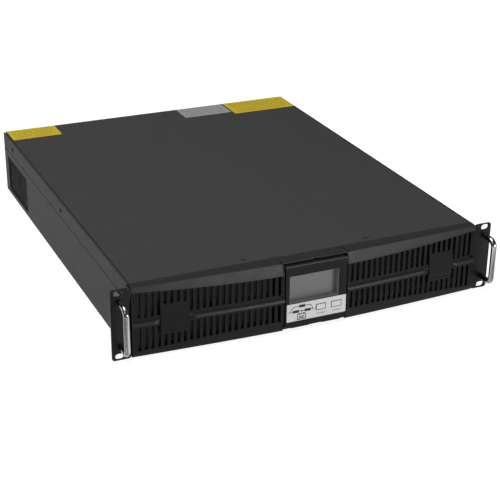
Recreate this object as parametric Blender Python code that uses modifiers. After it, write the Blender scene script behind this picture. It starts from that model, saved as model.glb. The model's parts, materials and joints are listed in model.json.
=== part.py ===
"""Rack or tower uninterruptible power supply, two rack units high, as separate parts.

Every size below is in millimetres and is measured from one point of the body: x from the middle plane,
+x to the right of someone facing the front; depth from the front edge of the top cover, growing towards
the rear; z from the underside of the chassis. The parts are placed in metres, with -Y as the front, +Z up,
and the origin under the middle of the whole object, handles included.
"""

import math

import bmesh
import bpy
from mathutils import Matrix, Vector

MM = 0.001
GAP = 0.3  # between pieces that touch

# Body
HALF_W = 219.0  # half the width of the body
BODY_H = 86.5  # two rack units less the clearance
MIDDLE_Z = BODY_H / 2
BODY_D = 536.0
SHEET = 1.2  # steel sheet
SEAM_Z = 65.9  # lower edge of the cover's folded sides
INSIDE_X = 215.9  # reach of the front and rear panels
FRONT_REACH = 37.0  # handles, in front of the cover
REAR_REACH = 538.0  # mains inlet, behind the cover's front edge
MIDDLE_DEPTH = (REAR_REACH - FRONT_REACH) / 2

# Front bezels
BEZEL_IN = 40.2
BEZEL_OUT = 218.7
BEZEL_BACK = -GAP
BEZEL_FOOT_Z = 1.0
SHELL = 2.2  # moulded walls
FACE_WALL = 3.4
SLOT_W = 3.1
SLOT_PITCH = 7.47
SLOT_FIRST = 45.9
SLOT_COUNT = 23
BADGE_SLOTS = (15, 16, 17, 18)  # slots that the badge interrupts
RAIL_TOP, RAIL_FOOT = 49.2, 37.9  # plain band across the grille
BADGE_X, BADGE_Z = 169.2, 43.2
BADGE_W, BADGE_H = 33.4, 34.6
BADGE_TILT = 3.6  # degrees, follows the bow of the face
POSTS = [(x, z) for x in (46.7, 212.2) for z in (10.0, 76.5)]  # they plug a bezel into the front panel
POST = 5.0

# Battery bay, behind the left bezel
BAY_X, BAY_Z = -129.5, 41.0
BAY_W, BAY_H = 157.0, 70.0

# Display
DISPLAY_SIZE, DISPLAY_Z = 77.5, 43.05
DISPLAY_FRONT, DISPLAY_BACK = -23.0, -4.0
CABLE_Z = 40.0  # the ribbon cable's way through to the display
WINDOW = (-2.5, 52.9, 63.0, 33.8)  # middle x and z, width and height
KEYPAD = (0.45, 24.1, 75.5, 22.2)
BUTTONS = ((5.85, 25.8, 11.7, 6.8), (25.75, 25.8, 12.5, 6.8))

# Rack ears and handles
EAR_FRONT, EAR_BACK = -9.7, -7.7
EAR_IN, EAR_OUT = 219.3, 241.3
EAR_FOOT, EAR_TOP = 0.4, 85.9
RACK_HOLE_X = 232.55
RACK_HOLE_STEP = 38.1  # above and below the ear's middle
HANDLE_X, HANDLE_Z = 231.3, 44.2
HANDLE_R, HANDLE_HALF, HANDLE_BEND = 3.5, 27.0, 8.0
HANDLE_LINE = -FRONT_REACH + HANDLE_R  # depth of the grip's centre line

# Rear
PANEL_BACK = 534.7
OUTSIDE = PANEL_BACK + GAP
FAN_X = (170.0, 84.0)
FAN_Z, FAN_SIZE, FAN_D = MIDDLE_Z, 80.0, 25.0
FAN_BORE_R, HUB_R = 37.8, 17.0
INLET_X, INLET_Z = 14.0, 28.0
BREAKER_Z = 64.0
OUTLET_X, OUTLET_PITCH = -72.0, 32.0
OUTLET_ROWS = {"outlet_bank_lower": 26.0, "outlet_bank_upper": 62.0}
PORT_Z = 62.0
SERIAL_X, USB_X, SOCKET_X = -154.0, -131.0, -188.0
CARD_X, CARD_Z = -172.0, 24.0

# Screws
SCREW_HEAD_R, SCREW_HEAD_H, SCREW_R = 3.5, 1.7, 1.6
SIDE_SCREWS = ((254.6, 73.8), (491.0, 73.8))  # depth and height

for old in list(bpy.data.objects):
    bpy.data.objects.remove(old, do_unlink=True)
PARTS = bpy.data.collections.new("uninterruptible_power_supply")
CUTTERS = bpy.data.collections.new("cutters")
for group in (PARTS, CUTTERS):
    bpy.context.scene.collection.children.link(group)


def material(name, colour, roughness, metallic=0.0):
    made = bpy.data.materials.new(name)
    made.use_nodes = True
    shader = made.node_tree.nodes["Principled BSDF"]
    shader.inputs["Base Color"].default_value = (*colour, 1.0)
    shader.inputs["Roughness"].default_value = roughness
    shader.inputs["Metallic"].default_value = metallic
    return made


PAINT = material("powder_coat", (0.060, 0.060, 0.062), 0.55)
STEEL = material("zinc_steel", (0.52, 0.53, 0.54), 0.35, 1.0)
BEZEL = material("bezel_plastic", (0.022, 0.022, 0.023), 0.45)
BADGE = material("badge_plastic", (0.030, 0.030, 0.032), 0.35)
EAR = material("ear_paint", (0.018, 0.018, 0.019), 0.5)
CHROME = material("chrome", (0.80, 0.80, 0.81), 0.08, 1.0)
DISPLAY = material("display_plastic", (0.024, 0.024, 0.025), 0.4)
GLASS = material("display_window", (0.110, 0.115, 0.120), 0.15)
KEYS = material("keypad_film", (0.62, 0.63, 0.64), 0.4)
KEY_CAP = material("key_cap", (0.55, 0.56, 0.57), 0.45)
SCREW = material("black_screw", (0.030, 0.030, 0.032), 0.35, 0.8)
YELLOW = material("yellow_sticker", (0.62, 0.46, 0.02), 0.5)
SILVER = material("silver_sticker", (0.30, 0.30, 0.31), 0.4)
BLACK = material("black_plastic", (0.012, 0.012, 0.013), 0.4)
BATTERY = material("battery_case", (0.045, 0.045, 0.050), 0.5)
BOARD = material("circuit_board", (0.020, 0.120, 0.045), 0.45)
FINS = material("heat_sink", (0.60, 0.61, 0.62), 0.4, 1.0)
WINDING = material("transformer", (0.300, 0.180, 0.040), 0.5)
SLEEVE = material("capacitor_sleeve", (0.015, 0.020, 0.060), 0.4)


def at(x, depth, z):
    """World place of a point given in body millimetres."""
    return Vector((x, depth - MIDDLE_DEPTH, z)) * MM


def add_object(name, data, paint, place=(0.0, MIDDLE_DEPTH, 0.0)):
    """A named part at a body place, or a cutter when it has no material."""
    made = bpy.data.objects.new(name, data)
    made.location = at(*place)
    if paint is None:
        CUTTERS.objects.link(made)
        made.hide_render = True
        made.display_type = "WIRE"
    else:
        PARTS.objects.link(made)
        data.materials.append(paint)
    return made


def mesh_object(name, bm, paint, place):
    """Turns a bmesh in millimetres round its own place into an object."""
    bmesh.ops.recalc_face_normals(bm, faces=bm.faces)
    bmesh.ops.scale(bm, vec=(MM, MM, MM), verts=bm.verts)
    mesh = bpy.data.meshes.new(name)
    bm.to_mesh(mesh)
    bm.free()
    return add_object(name, mesh, paint, place)


def blocks(name, corners, paint=None, bevel=0.0):
    """One mesh of boxes, each given by two opposite corners, placed at the middle of the first."""
    centre = (Vector(corners[0][0]) + Vector(corners[0][1])) / 2
    bm = bmesh.new()
    for low, high in corners:
        low, high = Vector(low), Vector(high)
        cube = bmesh.ops.create_cube(bm, size=1.0)["verts"]
        bmesh.ops.scale(bm, vec=high - low, verts=cube)
        bmesh.ops.translate(bm, vec=(low + high) / 2 - centre, verts=cube)
    made = mesh_object(name, bm, paint, centre)
    if bevel:
        add_bevel(made, bevel)
    return made


def block(name, low, high, paint=None, bevel=0.0):
    return blocks(name, [(low, high)], paint, bevel)


def span(x, z, width, height, start, end):
    """Opposite corners of a box round x and z, from one depth to another."""
    return (x - width / 2, start, z - height / 2), (x + width / 2, end, z + height / 2)


def add_bevel(target, width, segments=1):
    bevel = target.modifiers.new("edges", "BEVEL")
    bevel.width = width * MM
    bevel.segments = segments
    bevel.limit_method = "ANGLE"


def rods(name, centres, radius, ends, axis, paint=None, sides=16):
    """Round rods along one axis: centres are the two other coordinates, ends the reach along the axis."""
    turn = {"X": Matrix.Rotation(math.pi / 2, 4, "Y"), "Y": Matrix.Rotation(math.pi / 2, 4, "X"),
            "Z": Matrix.Identity(4)}[axis]

    def place(pair):
        across = list(pair)
        across.insert("XYZ".index(axis), sum(ends) / 2)
        return Vector(across)

    bm = bmesh.new()
    for pair in centres:
        rod = bmesh.ops.create_cone(bm, cap_ends=True, segments=sides, radius1=radius, radius2=radius,
                                    depth=abs(ends[1] - ends[0]))["verts"]
        bmesh.ops.transform(bm, matrix=turn, verts=rod)
        bmesh.ops.translate(bm, vec=place(pair) - place(centres[0]), verts=rod)
    made = mesh_object(name, bm, paint, place(centres[0]))
    smooth(made)
    return made


def smooth(target):
    target.data.shade_smooth()
    target.data.set_sharp_from_angle(angle=math.radians(40))


def combine(target, tool, operation):
    step = target.modifiers.new(operation.lower(), "BOOLEAN")
    step.operation = operation
    step.object = tool
    return target


def turn_upright(piece, pivot, degrees):
    """Turns a piece about the upright line through a point."""
    turn = Matrix.Rotation(math.radians(degrees), 4, "Z")
    piece.location = pivot + turn @ (piece.location - pivot)
    piece.rotation_euler = (0.0, 0.0, math.radians(degrees))


def cut(target, tool):
    return combine(target, tool, "DIFFERENCE")


def fuse(target, tool):
    return combine(target, tool, "UNION")


def outline(name, loops, thickness, paint, place, facing="Y"):
    """A flat plate from closed loops, the first the rim and the rest holes, in the plane across one axis.

    Loops hold pairs of body millimetres: x and z across Y, depth and z across X, x and depth across Z.
    """
    curve = bpy.data.curves.new(name, "CURVE")
    curve.dimensions = "2D"
    curve.fill_mode = "BOTH"
    curve.extrude = thickness * MM / 2
    first = {"X": 1, "Y": 0, "Z": 0}[facing]
    second = {"X": 2, "Y": 2, "Z": 1}[facing]
    for loop in loops:
        spline = curve.splines.new("POLY")
        spline.points.add(len(loop) - 1)
        spline.use_cyclic_u = True
        for point, (a, b) in zip(spline.points, loop):
            point.co = ((a - place[first]) * MM, (b - place[second]) * MM, 0.0, 1.0)
    turn = {"X": Matrix(((0, 0, 1), (1, 0, 0), (0, 1, 0))), "Z": Matrix.Identity(3),
            "Y": Matrix(((1, 0, 0), (0, 0, -1), (0, 1, 0)))}[facing]
    drawn = bpy.data.objects.new(name + "_outline", curve)
    bpy.context.scene.collection.objects.link(drawn)
    drawn.matrix_world = Matrix.Translation(at(*place)) @ turn.to_4x4()
    bpy.context.view_layer.update()
    mesh = bpy.data.meshes.new_from_object(drawn.evaluated_get(bpy.context.evaluated_depsgraph_get()))
    bm = bmesh.new()
    bm.from_mesh(mesh)
    bmesh.ops.remove_doubles(bm, verts=bm.verts, dist=0.001 * MM)
    bmesh.ops.recalc_face_normals(bm, faces=bm.faces)
    bm.to_mesh(mesh)
    bm.free()
    made = add_object(name, mesh, paint, place)
    made.matrix_world = drawn.matrix_world
    bpy.data.objects.remove(drawn, do_unlink=True)
    return made


def rounded(centre, width, height, radius, steps=4):
    """Points of a rectangle with round corners."""
    points = []
    for corner in range(4):
        side_x = (1, -1, -1, 1)[corner] * (width / 2 - radius)
        side_y = (1, 1, -1, -1)[corner] * (height / 2 - radius)
        for step in range(steps + 1):
            angle = math.pi / 2 * (corner + step / steps)
            points.append((centre[0] + side_x + radius * math.cos(angle),
                           centre[1] + side_y + radius * math.sin(angle)))
    return points


def window(x, z, width, height):
    """Points of a rectangle round x and z."""
    return [(x + a * width / 2, z + b * height / 2) for a, b in ((-1, -1), (1, -1), (1, 1), (-1, 1))]


def circle(centre, radius, sides=24):
    return [(centre[0] + radius * math.cos(2 * math.pi * i / sides),
             centre[1] + radius * math.sin(2 * math.pi * i / sides)) for i in range(sides)]


def folded_sheet(name, path, start, end, thickness, paint):
    """Sheet metal bent along its length: a path of x and z, drawn from one depth to another."""
    bm = bmesh.new()
    rows = [[bm.verts.new((x, depth - start, z)) for x, z in path] for depth in (start, end)]
    for i in range(len(path) - 1):
        bm.faces.new((rows[0][i], rows[0][i + 1], rows[1][i + 1], rows[1][i]))
    made = mesh_object(name, bm, paint, (0.0, start, 0.0))
    shell = made.modifiers.new("sheet", "SOLIDIFY")
    shell.thickness = thickness * MM
    shell.offset = 0.0
    shell.use_even_offset = True
    return made


def mirrored(path):
    """The whole path from its right half, which runs from the middle out."""
    return [(-x, z) for x, z in reversed(path)] + path


def lofted(name, stations, section, paint=None):
    """A solid through the same number of depth and z points at each x station."""
    bm = bmesh.new()
    rings = [[bm.verts.new((x, depth, z)) for depth, z in section(abs(x))] for x in stations]
    for near, far in zip(rings, rings[1:]):
        for i in range(len(near)):
            j = (i + 1) % len(near)
            bm.faces.new((near[i], near[j], far[j], far[i]))
    bm.faces.new(rings[0])
    bm.faces.new(rings[-1])
    return mesh_object(name, bm, paint, (0.0, 0.0, 0.0))


# Chassis and covers ------------------------------------------------------------------------------


def screw(name, place, axis, outward):
    """A pan-head machine screw: its head stands on the face at the place, its shank runs into the body."""
    index = "XYZ".index(axis)
    across = [value for i, value in enumerate(place) if i != index]
    face = place[index] + outward * GAP
    head = rods(name, [across], SCREW_HEAD_R, (face, face + outward * SCREW_HEAD_H), axis, SCREW, 12)
    add_bevel(head, 0.6)
    reach = (face - outward * 4.0, face + outward * 0.5)
    shank = rods(name + "_shank", [across], SCREW_R, reach, axis, None, 8)
    return fuse(head, shank)


def housing():
    """The folded base, the folded cover over it, and the four screws in the sides."""
    wall, flange = HALF_W - SHEET / 2, HALF_W - SHEET * 1.5 - GAP
    base = [(wall, SHEET / 2), (wall, SEAM_Z - 1.7), (flange, SEAM_Z - 0.2), (flange, BODY_H - 2.3)]
    chassis = folded_sheet("chassis", mirrored(base), 0.0, BODY_D, SHEET, PAINT)
    top = BODY_H - SHEET / 2
    lid = [(-wall, SEAM_Z), (-wall, top), (wall, top), (wall, SEAM_Z)]
    cover = folded_sheet("top_cover", lid, 0.0, BODY_D, SHEET, PAINT)
    holes = rods("side_screw_holes", SIDE_SCREWS, SCREW_R + GAP, (-HALF_W - 5, HALF_W + 5), "X", None, 12)
    cut(chassis, holes)
    cut(cover, holes)
    for side, word in ((-1, "left"), (1, "right")):
        for (depth, z), row in zip(SIDE_SCREWS, ("middle", "rear")):
            screw(f"cover_screw_{word}_{row}", (side * HALF_W, depth, z), "X", side)
    return chassis


def side_vent(chassis):
    """A window in the left wall near the rear, with a slotted screen behind it."""
    foot, top, start, end = 6.0, 56.0, 420.0, 518.0
    cut(chassis, block("side_vent_window", (-HALF_W - 2, start, foot), (-HALF_W + 4, end, top)))
    wall_inside = -HALF_W + SHEET + GAP
    screen = block("side_vent_screen", (wall_inside, start - 4, foot - 2.5),
                   (wall_inside + 1.0, end + 4, top + 2.5), PAINT)
    pitch, slot, rows = 5.2, 2.8, 3
    columns = int((end - start - 4) / pitch)
    row_pitch = (top - foot) / rows
    slots = []
    for column in range(columns):
        depth = (start + end) / 2 + (column - (columns - 1) / 2) * pitch
        for row in range(rows):
            z = foot + row_pitch * (row + 0.5)
            slots.append(((wall_inside - 2, depth - slot / 2, z - row_pitch / 2 + 1.2),
                          (wall_inside + 3, depth + slot / 2, z + row_pitch / 2 - 1.2)))
    cut(screen, blocks("side_vent_slots", slots))


def top_stickers():
    """Three stickers along the rear edge of the cover."""
    stickers = (("yellow_sticker_left", -180.0, 514.0, 70.0, 40.0, YELLOW),
                ("silver_sticker", 80.0, 514.0, 73.0, 41.0, SILVER),
                ("yellow_sticker_right", 168.0, 509.0, 98.0, 50.0, YELLOW))
    thick = 0.2
    for name, x, depth, width, length, paint in stickers:
        outline(name, [rounded((x, depth), width, length, 1.5, 2)], thick, paint,
                (x, depth, BODY_H + GAP + thick / 2), "Z")


# Front -------------------------------------------------------------------------------------------


def along(x):
    """How far out a point of a bezel lies: 0 at its inner end, 1 at its outer end."""
    return (x - BEZEL_IN) / (BEZEL_OUT - BEZEL_IN)


def droop(x):
    """The arc that the grille's edges follow: 0 near the display, 1 at the outer end."""
    return max(0.0, (x - 60.0) / (BEZEL_OUT - 60.0)) ** 1.6


def strip_edge(x):
    return -17.7 + 7.1 * along(x)


def grille_top(x):
    return 72.4 + 8.1 * droop(x)


def grille_foot(x):
    return 14.4 - 7.6 * droop(x)


def face(x):
    """Depth of the vertical grille face, below the sloping facet."""
    return strip_edge(x) - 0.36 * (85.5 - grille_top(x))


def bezel_section(x):
    front, top, foot = face(x), grille_top(x), grille_foot(x)
    groove = front + 1.7
    return [(BEZEL_BACK, 86.3), (strip_edge(x) + 0.6, 85.7), (strip_edge(x), 85.3), (front, top),
            (front, 48.4), (groove, 47.0), (groove, 44.6), (front - 0.2, 43.4), (front - 0.9, 42.0),
            (front - 0.9, 40.2), (front - 0.2, 38.9), (front, RAIL_FOOT), (front, foot),
            (front + 1.6 + 1.6 * (1 - along(x)), BEZEL_FOOT_Z), (BEZEL_BACK, BEZEL_FOOT_Z)]


def bezel_hollow(x):
    front, top, foot = face(x) + FACE_WALL, grille_top(x), grille_foot(x)
    return [(5.0, 86.3 - SHELL), (strip_edge(x) + 2.0, 85.4 - SHELL), (front, top - 0.8), (front, foot + 0.8),
            (front + 1.2, BEZEL_FOOT_Z + SHELL), (5.0, BEZEL_FOOT_Z + SHELL)]


def stations(low, high, count):
    return [low + (high - low) * i / (count - 1) for i in range(count)]


def bezel(side, word):
    """A bowed grille moulding with its posts, and the blank badge that clips into its middle band."""
    outer = [side * x for x in stations(BEZEL_IN, BEZEL_OUT, 9)]
    inner = [side * x for x in stations(BEZEL_IN + SHELL, BEZEL_OUT - SHELL, 7)]
    shell = lofted(f"bezel_{word}", outer, bezel_section, BEZEL)
    cut(shell, lofted(f"bezel_{word}_hollow", inner, bezel_hollow))

    slots = []
    badge_foot, badge_top = BADGE_Z - BADGE_H / 2 - 0.8, BADGE_Z + BADGE_H / 2 + 0.8
    for number in range(SLOT_COUNT):
        x = SLOT_FIRST + SLOT_PITCH * number
        upper, lower = RAIL_TOP, RAIL_FOOT - 1.0
        if number in BADGE_SLOTS:
            upper, lower = badge_top + 0.8, badge_foot - 0.8
        for foot, top in ((upper, grille_top(x) - 0.4), (grille_foot(x) + 0.4, lower)):
            slots.append(span(side * x, (foot + top) / 2, SLOT_W, top - foot, -30.0, -5.0))
    cut(shell, blocks(f"bezel_{word}_slots", slots))

    seat, x = face(BADGE_X) + 0.9, side * BADGE_X
    hollow = span(x, BADGE_Z, BADGE_W + 2 * GAP, BADGE_H + 2 * GAP, seat - 12, seat)
    pocket = block(f"bezel_{word}_badge_seat", *hollow)
    pad = span(x, BADGE_Z, BADGE_W, BADGE_H, seat - GAP - 1.7, seat - GAP)
    badge = block(f"badge_{word}", *pad, BADGE, 0.5)
    for piece in (pocket, badge):
        turn_upright(piece, at(x, seat, BADGE_Z), side * BADGE_TILT)
    cut(shell, pocket)

    posts = [span(side * out, z, POST, POST, face(out) + 3.0, 4.0) for out, z in POSTS]
    fuse(shell, blocks(f"bezel_{word}_posts", posts))


def front_panel():
    """Inner steel wall: cable hole, intake window on the right, battery bay on the left with its door."""
    holes = [window(0.0, MIDDLE_Z, 2 * INSIDE_X, BODY_H - 3.0), circle((0.0, CABLE_Z), 11.0, 16),
             rounded((BAY_X, BAY_Z), BAY_W, BAY_H, 3.0, 2)]
    holes += [window(side * x, z, POST + 2 * GAP, POST + 2 * GAP) for side in (-1, 1) for x, z in POSTS]
    pitch = 7.4
    holes += [window(-BAY_X + column * pitch, z, 4.6, 25.0) for column in range(-9, 10) for z in (27.0, 59.0)]
    outline("front_panel", holes, SHEET, PAINT, (0.0, 1.2, MIDDLE_Z))
    door = block("battery_door", *span(BAY_X, BAY_Z, BAY_W + 2.6, BAY_H + 3.0, -1.7, -GAP), PAINT)
    cut(door, rods("battery_door_finger_hole", [(BAY_X, BAY_Z)], 9.0, (-3.0, 1.0), "Y"))


def display_surround():
    """The strip over the display, the wall behind it and the sill under it, in one moulding."""
    section = [(-GAP, 86.3), (-16.6, 85.7), (-17.5, 85.3), (-17.7, 84.7), (-17.4, 84.2), (-2.6, 84.2),
               (-2.6, 3.5), (-16.6, 3.5), (-16.6, 1.0), (-GAP, 1.0)]
    surround = lofted("display_surround", [-39.6, 39.6], lambda x: section, BEZEL)
    cut(surround, rods("display_cable_hole", [(0.0, CABLE_Z)], 8.0, (-6.0, 3.0), "Y"))


def display():
    """The square display module: housing, window, panel, keypad film with two keys, board and back."""
    front, back, wall = DISPLAY_FRONT, DISPLAY_BACK, 2.2
    inside, hollow = front + wall, DISPLAY_SIZE - 2 * wall
    shell = block("display_housing", *span(0.0, DISPLAY_Z, DISPLAY_SIZE, DISPLAY_SIZE, front, back), DISPLAY)
    add_bevel(shell, 1.4, 2)
    cut(shell, block("display_hollow", *span(0.0, DISPLAY_Z, hollow, hollow, inside, back + 5)))
    openings = [span(*WINDOW, front - 2, inside + 2)]
    openings += [span(*key, front - 2, inside + 2) for key in BUTTONS]
    cut(shell, blocks("display_openings", openings))
    grip = span(0.0, DISPLAY_Z - DISPLAY_SIZE / 2, 15.0, 4.4, front - 2, inside - 0.6)
    cut(shell, block("display_grip", *grip))

    x, z, width, height = WINDOW
    block("display_window", *span(x, z, width - 2 * GAP, height - 2 * GAP, front + 0.4, front + 1.6), GLASS)
    block("lcd_panel", *span(x, z + 0.4, width + 3, height + 3, inside + GAP, inside + 6.5), BLACK)
    x, z, width, height = KEYPAD
    film = 0.4
    loops = [rounded((x, z), width, height, 0.8, 2)] + [window(*key) for key in BUTTONS]
    outline("keypad_film", loops, film, KEYS, (x, front - GAP - film / 2, z))
    for word, (x, z, width, height) in zip(("left", "right"), BUTTONS):
        cap = span(x, z, width - 2 * GAP, height - 2 * GAP, front - 1.3, inside + 1.0)
        key = block(f"button_{word}", *cap, KEY_CAP, 0.3)
        rim = span(x, z, width + 2.4, height + 2.4, inside + GAP, inside + 1.5)
        fuse(key, block(f"button_{word}_rim", *rim))
    block("display_board", *span(0.0, 20.5, 70.0, 25.0, inside + 3.4, inside + 5.0), BOARD)
    lid_size = hollow - 2 * GAP
    lid = block("display_back", *span(0.0, DISPLAY_Z, lid_size, lid_size, back - 2.0, back - 0.4), BLACK)
    cut(lid, rods("display_back_hole", [(0.0, CABLE_Z)], 5.0, (back - 5, back + 3), "Y"))


def ear(side, word):
    """A rack ear: front plate with two slots, folded back along the chassis, and its bar handle."""
    centre_z = (EAR_FOOT + EAR_TOP) / 2
    middle_x, width = (EAR_IN + EAR_OUT) / 2, EAR_OUT - EAR_IN
    slots = [rounded((side * RACK_HOLE_X, centre_z + step), 10.2, 6.8, 3.35) for step in
             (-RACK_HOLE_STEP, RACK_HOLE_STEP)]
    bolts = [circle((side * HANDLE_X, HANDLE_Z + end), 2.1, 12) for end in (-HANDLE_HALF, HANDLE_HALF)]
    rim = rounded((side * middle_x, centre_z), width, EAR_TOP - EAR_FOOT, 3.0, 3)
    thick = EAR_BACK - EAR_FRONT
    plate = outline(f"ear_{word}", [rim] + slots + bolts, thick, EAR,
                    (side * middle_x, (EAR_FRONT + EAR_BACK) / 2, centre_z))
    front = EAR_FRONT + 0.8
    fold = [(front, 5.0), (33.0, 5.0), (38.0, 10.0), (38.0, 60.0), (33.0, 65.0), (front, 65.0)]
    fold_x = side * (EAR_IN + thick / 2)
    fuse(plate, outline(f"ear_{word}_flange", [fold], thick, None, (fold_x, 10.0, centre_z), "X"))
    handle(side, word)
    for end, row in ((-HANDLE_HALF, "lower"), (HANDLE_HALF, "upper")):
        name = f"handle_screw_{word}_{row}"
        spot = [(side * HANDLE_X, HANDLE_Z + end)]
        cut(plate, rods(name + "_seat", spot, 3.9, (EAR_BACK - 1.2, EAR_BACK + 1.0), "Y", None, 16))
        head = rods(name, spot, 3.6, (EAR_BACK - 0.9, EAR_BACK - 0.1), "Y", SCREW, 12)
        fuse(head, rods(name + "_shank", spot, 1.8, (EAR_FRONT - 0.1, EAR_BACK - 0.5), "Y", None, 8))


def handle(side, word):
    """A round bar bent into a U, standing out from the ear."""
    x = side * HANDLE_X
    start = EAR_FRONT - 2 * GAP
    bend_depth, bend_z = HANDLE_LINE + HANDLE_BEND, HANDLE_HALF - HANDLE_BEND
    quarter = [math.pi / 2 * i / 5 for i in range(6)]
    upper = [(bend_depth - HANDLE_BEND * math.sin(a), bend_z + HANDLE_BEND * math.cos(a)) for a in quarter]
    line = [(start, HANDLE_HALF)] + upper
    line += [(depth, -z) for depth, z in reversed(line)]
    curve = bpy.data.curves.new(f"handle_{word}", "CURVE")
    curve.dimensions = "3D"
    curve.bevel_depth = HANDLE_R * MM
    curve.bevel_resolution = 2
    curve.use_fill_caps = True
    spline = curve.splines.new("POLY")
    spline.points.add(len(line) - 1)
    for point, (depth, z) in zip(spline.points, line):
        point.co = (0.0, depth * MM, z * MM, 1.0)
        point.radius = 1.0
    add_object(f"handle_{word}", curve, CHROME, (x, 0.0, HANDLE_Z))


# Rear --------------------------------------------------------------------------------------------


def rear_panel():
    """Rear wall with an opening for each fan, connector and switch."""
    holes = [window(0.0, MIDDLE_Z, 2 * INSIDE_X, BODY_H - 3.0)]
    holes += [window(x, FAN_Z, 74.0, 74.0) for x in FAN_X]
    holes += [window(INLET_X, INLET_Z, 31.0, 23.0), circle((INLET_X, BREAKER_Z), 7.0, 8)]
    holes += [window(OUTLET_X, z, 94.0, 24.0) for z in OUTLET_ROWS.values()]
    holes += [window(CARD_X, CARD_Z, 74.0, 24.0), window(SERIAL_X, PORT_Z, 20.0, 10.0),
              window(USB_X, PORT_Z, 13.0, 12.0), window(SOCKET_X, PORT_Z, 30.0, 22.0)]
    outline("rear_panel", holes, SHEET, PAINT, (0.0, PANEL_BACK - SHEET / 2, MIDDLE_Z))


def fan(x, word):
    """An axial fan: square frame with a round bore and struts, its rotor, and the punched guard outside."""
    start = PANEL_BACK - SHEET - GAP - FAN_D
    end = start + FAN_D
    strut, reach = 4.0, FAN_SIZE - 2.0
    frame = block(f"fan_frame_{word}", *span(x, FAN_Z, FAN_SIZE, FAN_SIZE, start, end), BLACK)
    cut(frame, rods(f"fan_bore_{word}", [(x, FAN_Z)], FAN_BORE_R, (start - 2, end + 2), "Y", None, 32))
    fuse(frame, block(f"fan_strut_{word}", *span(x, FAN_Z, reach, strut, start + 0.5, start + 3.5)))
    fuse(frame, block(f"fan_post_{word}", *span(x, FAN_Z, strut, reach, start + 0.6, start + 3.4)))

    rotor = rods(f"fan_rotor_{word}", [(x, FAN_Z)], HUB_R, (start + 5.0, end - 2.0), "Y", BLACK, 20)
    bm = bmesh.new()
    count = 7
    for i in range(count):
        blade = bmesh.ops.create_cube(bm, size=1.0)["verts"]
        bmesh.ops.scale(bm, vec=(1.4, 22.0, FAN_BORE_R - HUB_R), verts=blade)
        pitch = Matrix.Rotation(math.radians(48), 3, "Z")
        bmesh.ops.rotate(bm, cent=(0, 0, 0), matrix=pitch, verts=blade)
        bmesh.ops.translate(bm, vec=(0, 0, (FAN_BORE_R + HUB_R) / 2 - 2.0), verts=blade)
        turn = Matrix.Rotation(2 * math.pi * i / count, 3, "Y")
        bmesh.ops.rotate(bm, cent=(0, 0, 0), matrix=turn, verts=blade)
    fuse(rotor, mesh_object(f"fan_blades_{word}", bm, None, (x, (start + end + 3.0) / 2, FAN_Z)))

    loops = [rounded((x, FAN_Z), FAN_SIZE + 1.0, FAN_SIZE + 1.0, 5.0, 3)]
    for inner, outer in ((8.0, 15.0), (17.5, 25.0), (27.5, 35.5)):
        margin, steps = math.asin(1.3 / inner), 5
        for quarter in range(4):
            low, high = math.pi / 2 * quarter + margin, math.pi / 2 * (quarter + 1) - margin
            angles = [low + (high - low) * i / steps for i in range(steps + 1)]
            round_trip = [(outer, angle) for angle in angles] + [(inner, angle) for angle in reversed(angles)]
            loops.append([(x + radius * math.cos(angle), FAN_Z + radius * math.sin(angle))
                          for radius, angle in round_trip])
    outline(f"fan_guard_{word}", loops, 1.0, STEEL, (x, OUTSIDE + 0.5, FAN_Z))


def inlet_and_breaker():
    """Mains inlet with three flat pins in its recess, and the resettable breaker over it."""
    x, z = INLET_X, INLET_Z
    body = block("mains_inlet", *span(x, z, 50.0, 31.0, OUTSIDE, REAR_REACH), BLACK, 1.0)
    fuse(body, block("mains_inlet_body", *span(x, z, 30.0, 22.0, OUTSIDE - 22.0, OUTSIDE + 1.5)))
    cut(body, block("mains_inlet_recess", *span(x, z, 24.6, 16.4, OUTSIDE - 14.0, REAR_REACH + 5)))
    pins = [span(x + across, z + up, 2.0, 4.0, OUTSIDE - 16.0, REAR_REACH - 6.0)
            for across, up in ((-7.0, -2.0), (0.0, 2.0), (7.0, -2.0))]
    fuse(body, blocks("mains_inlet_pins", pins))

    spot = [(INLET_X, BREAKER_Z)]
    collar = rods("breaker_body", spot, 8.0, (OUTSIDE, OUTSIDE + 2.0), "Y", BLACK, 20)
    fuse(collar, rods("breaker_thread", spot, 6.2, (OUTSIDE - 20.0, OUTSIDE + 1.0), "Y", None, 16))
    cut(collar, rods("breaker_hole", spot, 4.3, (OUTSIDE - 12.0, OUTSIDE + 5.0), "Y", None, 16))
    key = rods("breaker_button", spot, 4.0, (OUTSIDE - 8.0, OUTSIDE + 2.8), "Y", KEY_CAP, 16)
    add_bevel(key, 0.5)


def outlet_bank(name, z):
    """Three sockets in one block, each a plug-shaped groove round a core with three slots."""
    body = block(name, *span(OUTLET_X, z, 3 * OUTLET_PITCH + 4.0, 30.0, OUTSIDE, OUTSIDE + 2.2), BLACK, 0.7)
    fuse(body, block(name + "_body", *span(OUTLET_X, z, 93.0, 23.0, OUTSIDE - 20.0, OUTSIDE + 1.2)))
    sockets = [OUTLET_X + number * OUTLET_PITCH for number in (-1, 0, 1)]
    grooves = [span(x, z, 26.0, 18.0, OUTSIDE - 14.0, OUTSIDE + 5.0) for x in sockets]
    cores = [span(x, z, 20.4, 12.4, OUTSIDE - 16.0, OUTSIDE + 1.4) for x in sockets]
    slots = [span(x + across, z + up, 2.4, 4.4, OUTSIDE - 8.0, OUTSIDE + 5.0)
             for x in sockets for across, up in ((-7.0, -1.5), (0.0, 2.0), (7.0, -1.5))]
    cut(body, blocks(name + "_grooves", grooves))
    fuse(body, blocks(name + "_cores", cores))
    cut(body, blocks(name + "_slots", slots))


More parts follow.
